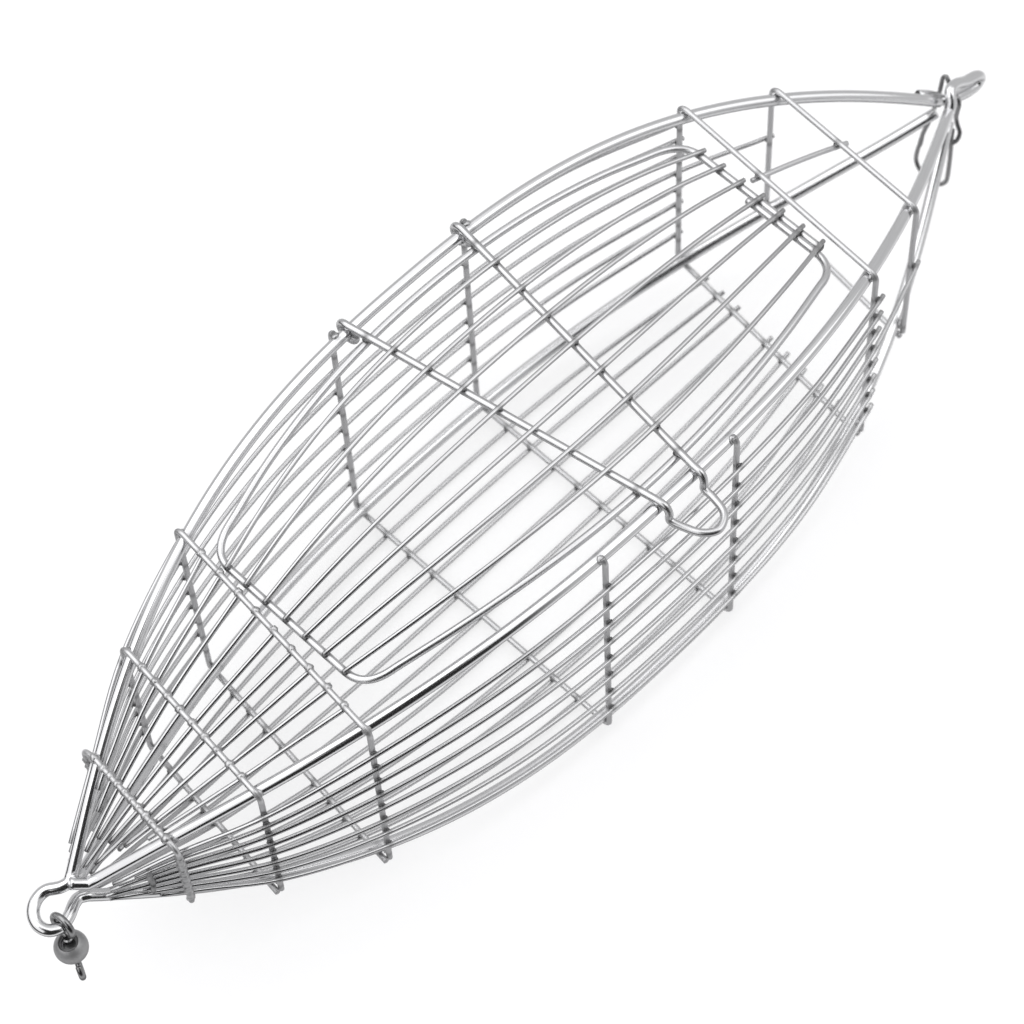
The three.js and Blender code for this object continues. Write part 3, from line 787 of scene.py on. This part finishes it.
def build_floor(height):
    mesh = bpy.data.meshes.new("floor")
    h = FLOOR_SIZE / 2
    corners = [(-h, -h, height), (h, -h, height), (h, h, height), (-h, h, height)]
    mesh.from_pydata(corners, [], [(0, 1, 2, 3)])
    floor = place_object("floor", mesh)
    material, _, shader = new_material("pale_floor")
    shader.inputs["Base Color"].default_value = (*grey(FLOOR_TONE), 1)
    shader.inputs["Roughness"].default_value = 0.8
    shader.inputs["Emission Color"].default_value = (1, 1, 1, 1)
    shader.inputs["Emission Strength"].default_value = 1 - FLOOR_TONE
    mesh.materials.append(material)
    floor.visible_glossy = False


def soft_step(tree, value, start, full):
    """0 before start, 1 beyond full, smooth between; full may be the smaller of the two."""
    node = tree.nodes.new("ShaderNodeMapRange")
    node.interpolation_type = "SMOOTHSTEP"
    node.inputs["From Min"].default_value = min(start, full)
    node.inputs["From Max"].default_value = max(start, full)
    node.inputs["To Min"].default_value = 0.0 if start < full else 1.0
    node.inputs["To Max"].default_value = 1.0 if start < full else 0.0
    link(tree, value, node.inputs["Value"])
    return node.outputs["Result"]


def band(tree, value, low, high, soft):
    """1 between low and high, fading to 0 over a soft edge."""
    rising = soft_step(tree, value, low - soft, low)
    falling = soft_step(tree, value, high + soft, high)
    return math_node(tree, "MULTIPLY", rising, falling)


def extent(tree, split, direction):
    """How far the reflected direction goes along another."""
    parts = [math_node(tree, "MULTIPLY", split.outputs[k], amount) for k, amount in enumerate(direction)]
    return math_node(tree, "ADD", math_node(tree, "ADD", parts[0], parts[1]), parts[2])


def reflected_studio(tree):
    """
    What the wires mirror: a plain room, white overhead, dark straight below and at the camera. Only the
    decked nose faces the room's dark side: a white wall, black cloth under it, and a black screen on the
    latch side.
    """
    place = tree.nodes.new("ShaderNodeTexCoord")
    split = tree.nodes.new("ShaderNodeSeparateXYZ")
    link(tree, place.outputs["Generated"], split.inputs["Vector"])
    along, across, up = (split.outputs[name] for name in "XYZ")

    room = mix_node(tree, soft_step(tree, up, *FLOOR_RISE), grey(PLAIN_GLOW), grey(FLOOR_GLOW))
    room = mix_node(tree, soft_step(tree, up, *BELOW_RISE), room, grey(BELOW_GLOW))
    open_end = soft_step(tree, along, *OPEN_END)
    ceiling = mix_node(tree, open_end, grey(CEILING_GLOW), grey(OPEN_CEILING_GLOW))
    room = mix_node(tree, soft_step(tree, up, *CEILING_RISE), room, ceiling)

    decked_end = soft_step(tree, along, *DECKED_END)
    wall = math_node(tree, "MULTIPLY", decked_end, band(tree, up, *WALL_BAND))
    room = mix_node(tree, wall, room, grey(WALL_GLOW))
    cloth = math_node(tree, "MULTIPLY", decked_end, band(tree, up, *CLOTH_BAND))
    room = mix_node(tree, cloth, room, grey(CLOTH_GLOW))

    screen = math_node(tree, "MULTIPLY", soft_step(tree, along, *SCREEN_END), band(tree, up, *SCREEN_BAND))
    screen = math_node(tree, "MULTIPLY", screen, soft_step(tree, across, *SCREEN_SIDE))
    room = mix_node(tree, screen, room, grey(CLOTH_GLOW))
    spot = soft_step(tree, extent(tree, split, VIEW_BACK), *CAMERA_SPOT)
    return mix_node(tree, spot, room, grey(CAMERA_GLOW))


def build_world():
    """Plain and pale for the camera and for diffuse light; the mirrored studio in reflections only."""
    world = bpy.data.worlds.new("studio")
    bpy.context.scene.world = world
    world.use_nodes = True
    tree = world.node_tree
    background = tree.nodes["Background"]
    glossy = tree.nodes.new("ShaderNodeLightPath").outputs["Is Glossy Ray"]
    seen = mix_node(tree, glossy, grey(ROOM_GLOW), reflected_studio(tree))
    link(tree, seen, background.inputs["Color"])
    background.inputs["Strength"].default_value = 1.0
    world.cycles.sampling_method = "NONE"


# ---- lamps and camera ----------------------------------------------------------------------
LAMP_TARGET = (0, 0, 0.03)
LAMPS = (  # name, place, size, power in watts
    ("key", (-0.4, 0.4, 1.1), (1.4, 1.0), 3),
    ("fill", (0.6, -0.5, 0.8), (0.8, 0.8), 1.5),
)
CAMERA_DISTANCE = 551.13 * MM
CAMERA_LENS = 120.16           # millimetres, on a sensor 36 mm wide
CAMERA_STOP = 34
AIM_HEIGHT = 29.285 * MM       # the camera aims at the cage's middle at this height,
AIM_ACROSS = -3.98 * MM        # but this far across the picture
AIM_ABOVE = -5.88 * MM         # and this far up it
FOCUS_HEIGHT = 28 * MM         # nearer than the aim: the decked nose and the lid are sharp


def area_light(name, place, size, power):
    data = bpy.data.lights.new(name, "AREA")
    data.shape = "RECTANGLE"
    data.size, data.size_y = size
    data.energy = power
    lamp = place_object(name, data)
    lamp.location = place
    lamp.rotation_euler = (Vector(LAMP_TARGET) - Vector(place)).to_track_quat("-Z", "Y").to_euler()


def build_camera():
    """Looks down on the latch side from the decked nose, slightly rolled."""
    azimuth, roll = math.radians(VIEW_AZIMUTH), math.radians(VIEW_ROLL)
    back = Vector(VIEW_BACK)
    right = Vector((math.cos(azimuth), math.sin(azimuth), 0))
    up = back.cross(right)
    across = math.cos(roll) * right + math.sin(roll) * up
    above = -math.sin(roll) * right + math.cos(roll) * up
    aim = Vector((0, 0, AIM_HEIGHT)) + AIM_ACROSS * across + AIM_ABOVE * above
    focus = place_object("focus_mark", None)
    focus.location = aim + back * FOCUS_HEIGHT
    data = bpy.data.cameras.new("camera")
    data.sensor_width = 36
    data.lens = CAMERA_LENS
    data.clip_start, data.clip_end = 0.01, 20
    data.dof.use_dof = True
    data.dof.focus_object = focus
    data.dof.aperture_fstop = CAMERA_STOP
    camera = place_object("camera", data)
    axes = Matrix((across, above, back)).transposed().to_4x4()
    camera.matrix_world = Matrix.Translation(aim + back * CAMERA_DISTANCE) @ axes
    bpy.context.scene.camera = camera


# ---- build ---------------------------------------------------------------------------------
for body, nodes in BODIES.items():
    build_body(body, nodes)
build_bead()
build_stem_collar()
build_splice()

size_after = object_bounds()
build_floor(size_after[0].z - FLOOR_DROP)
build_world()
for lamp in LAMPS:
    area_light(*lamp)
build_camera()
bpy.context.scene.view_settings.view_transform = "Standard"
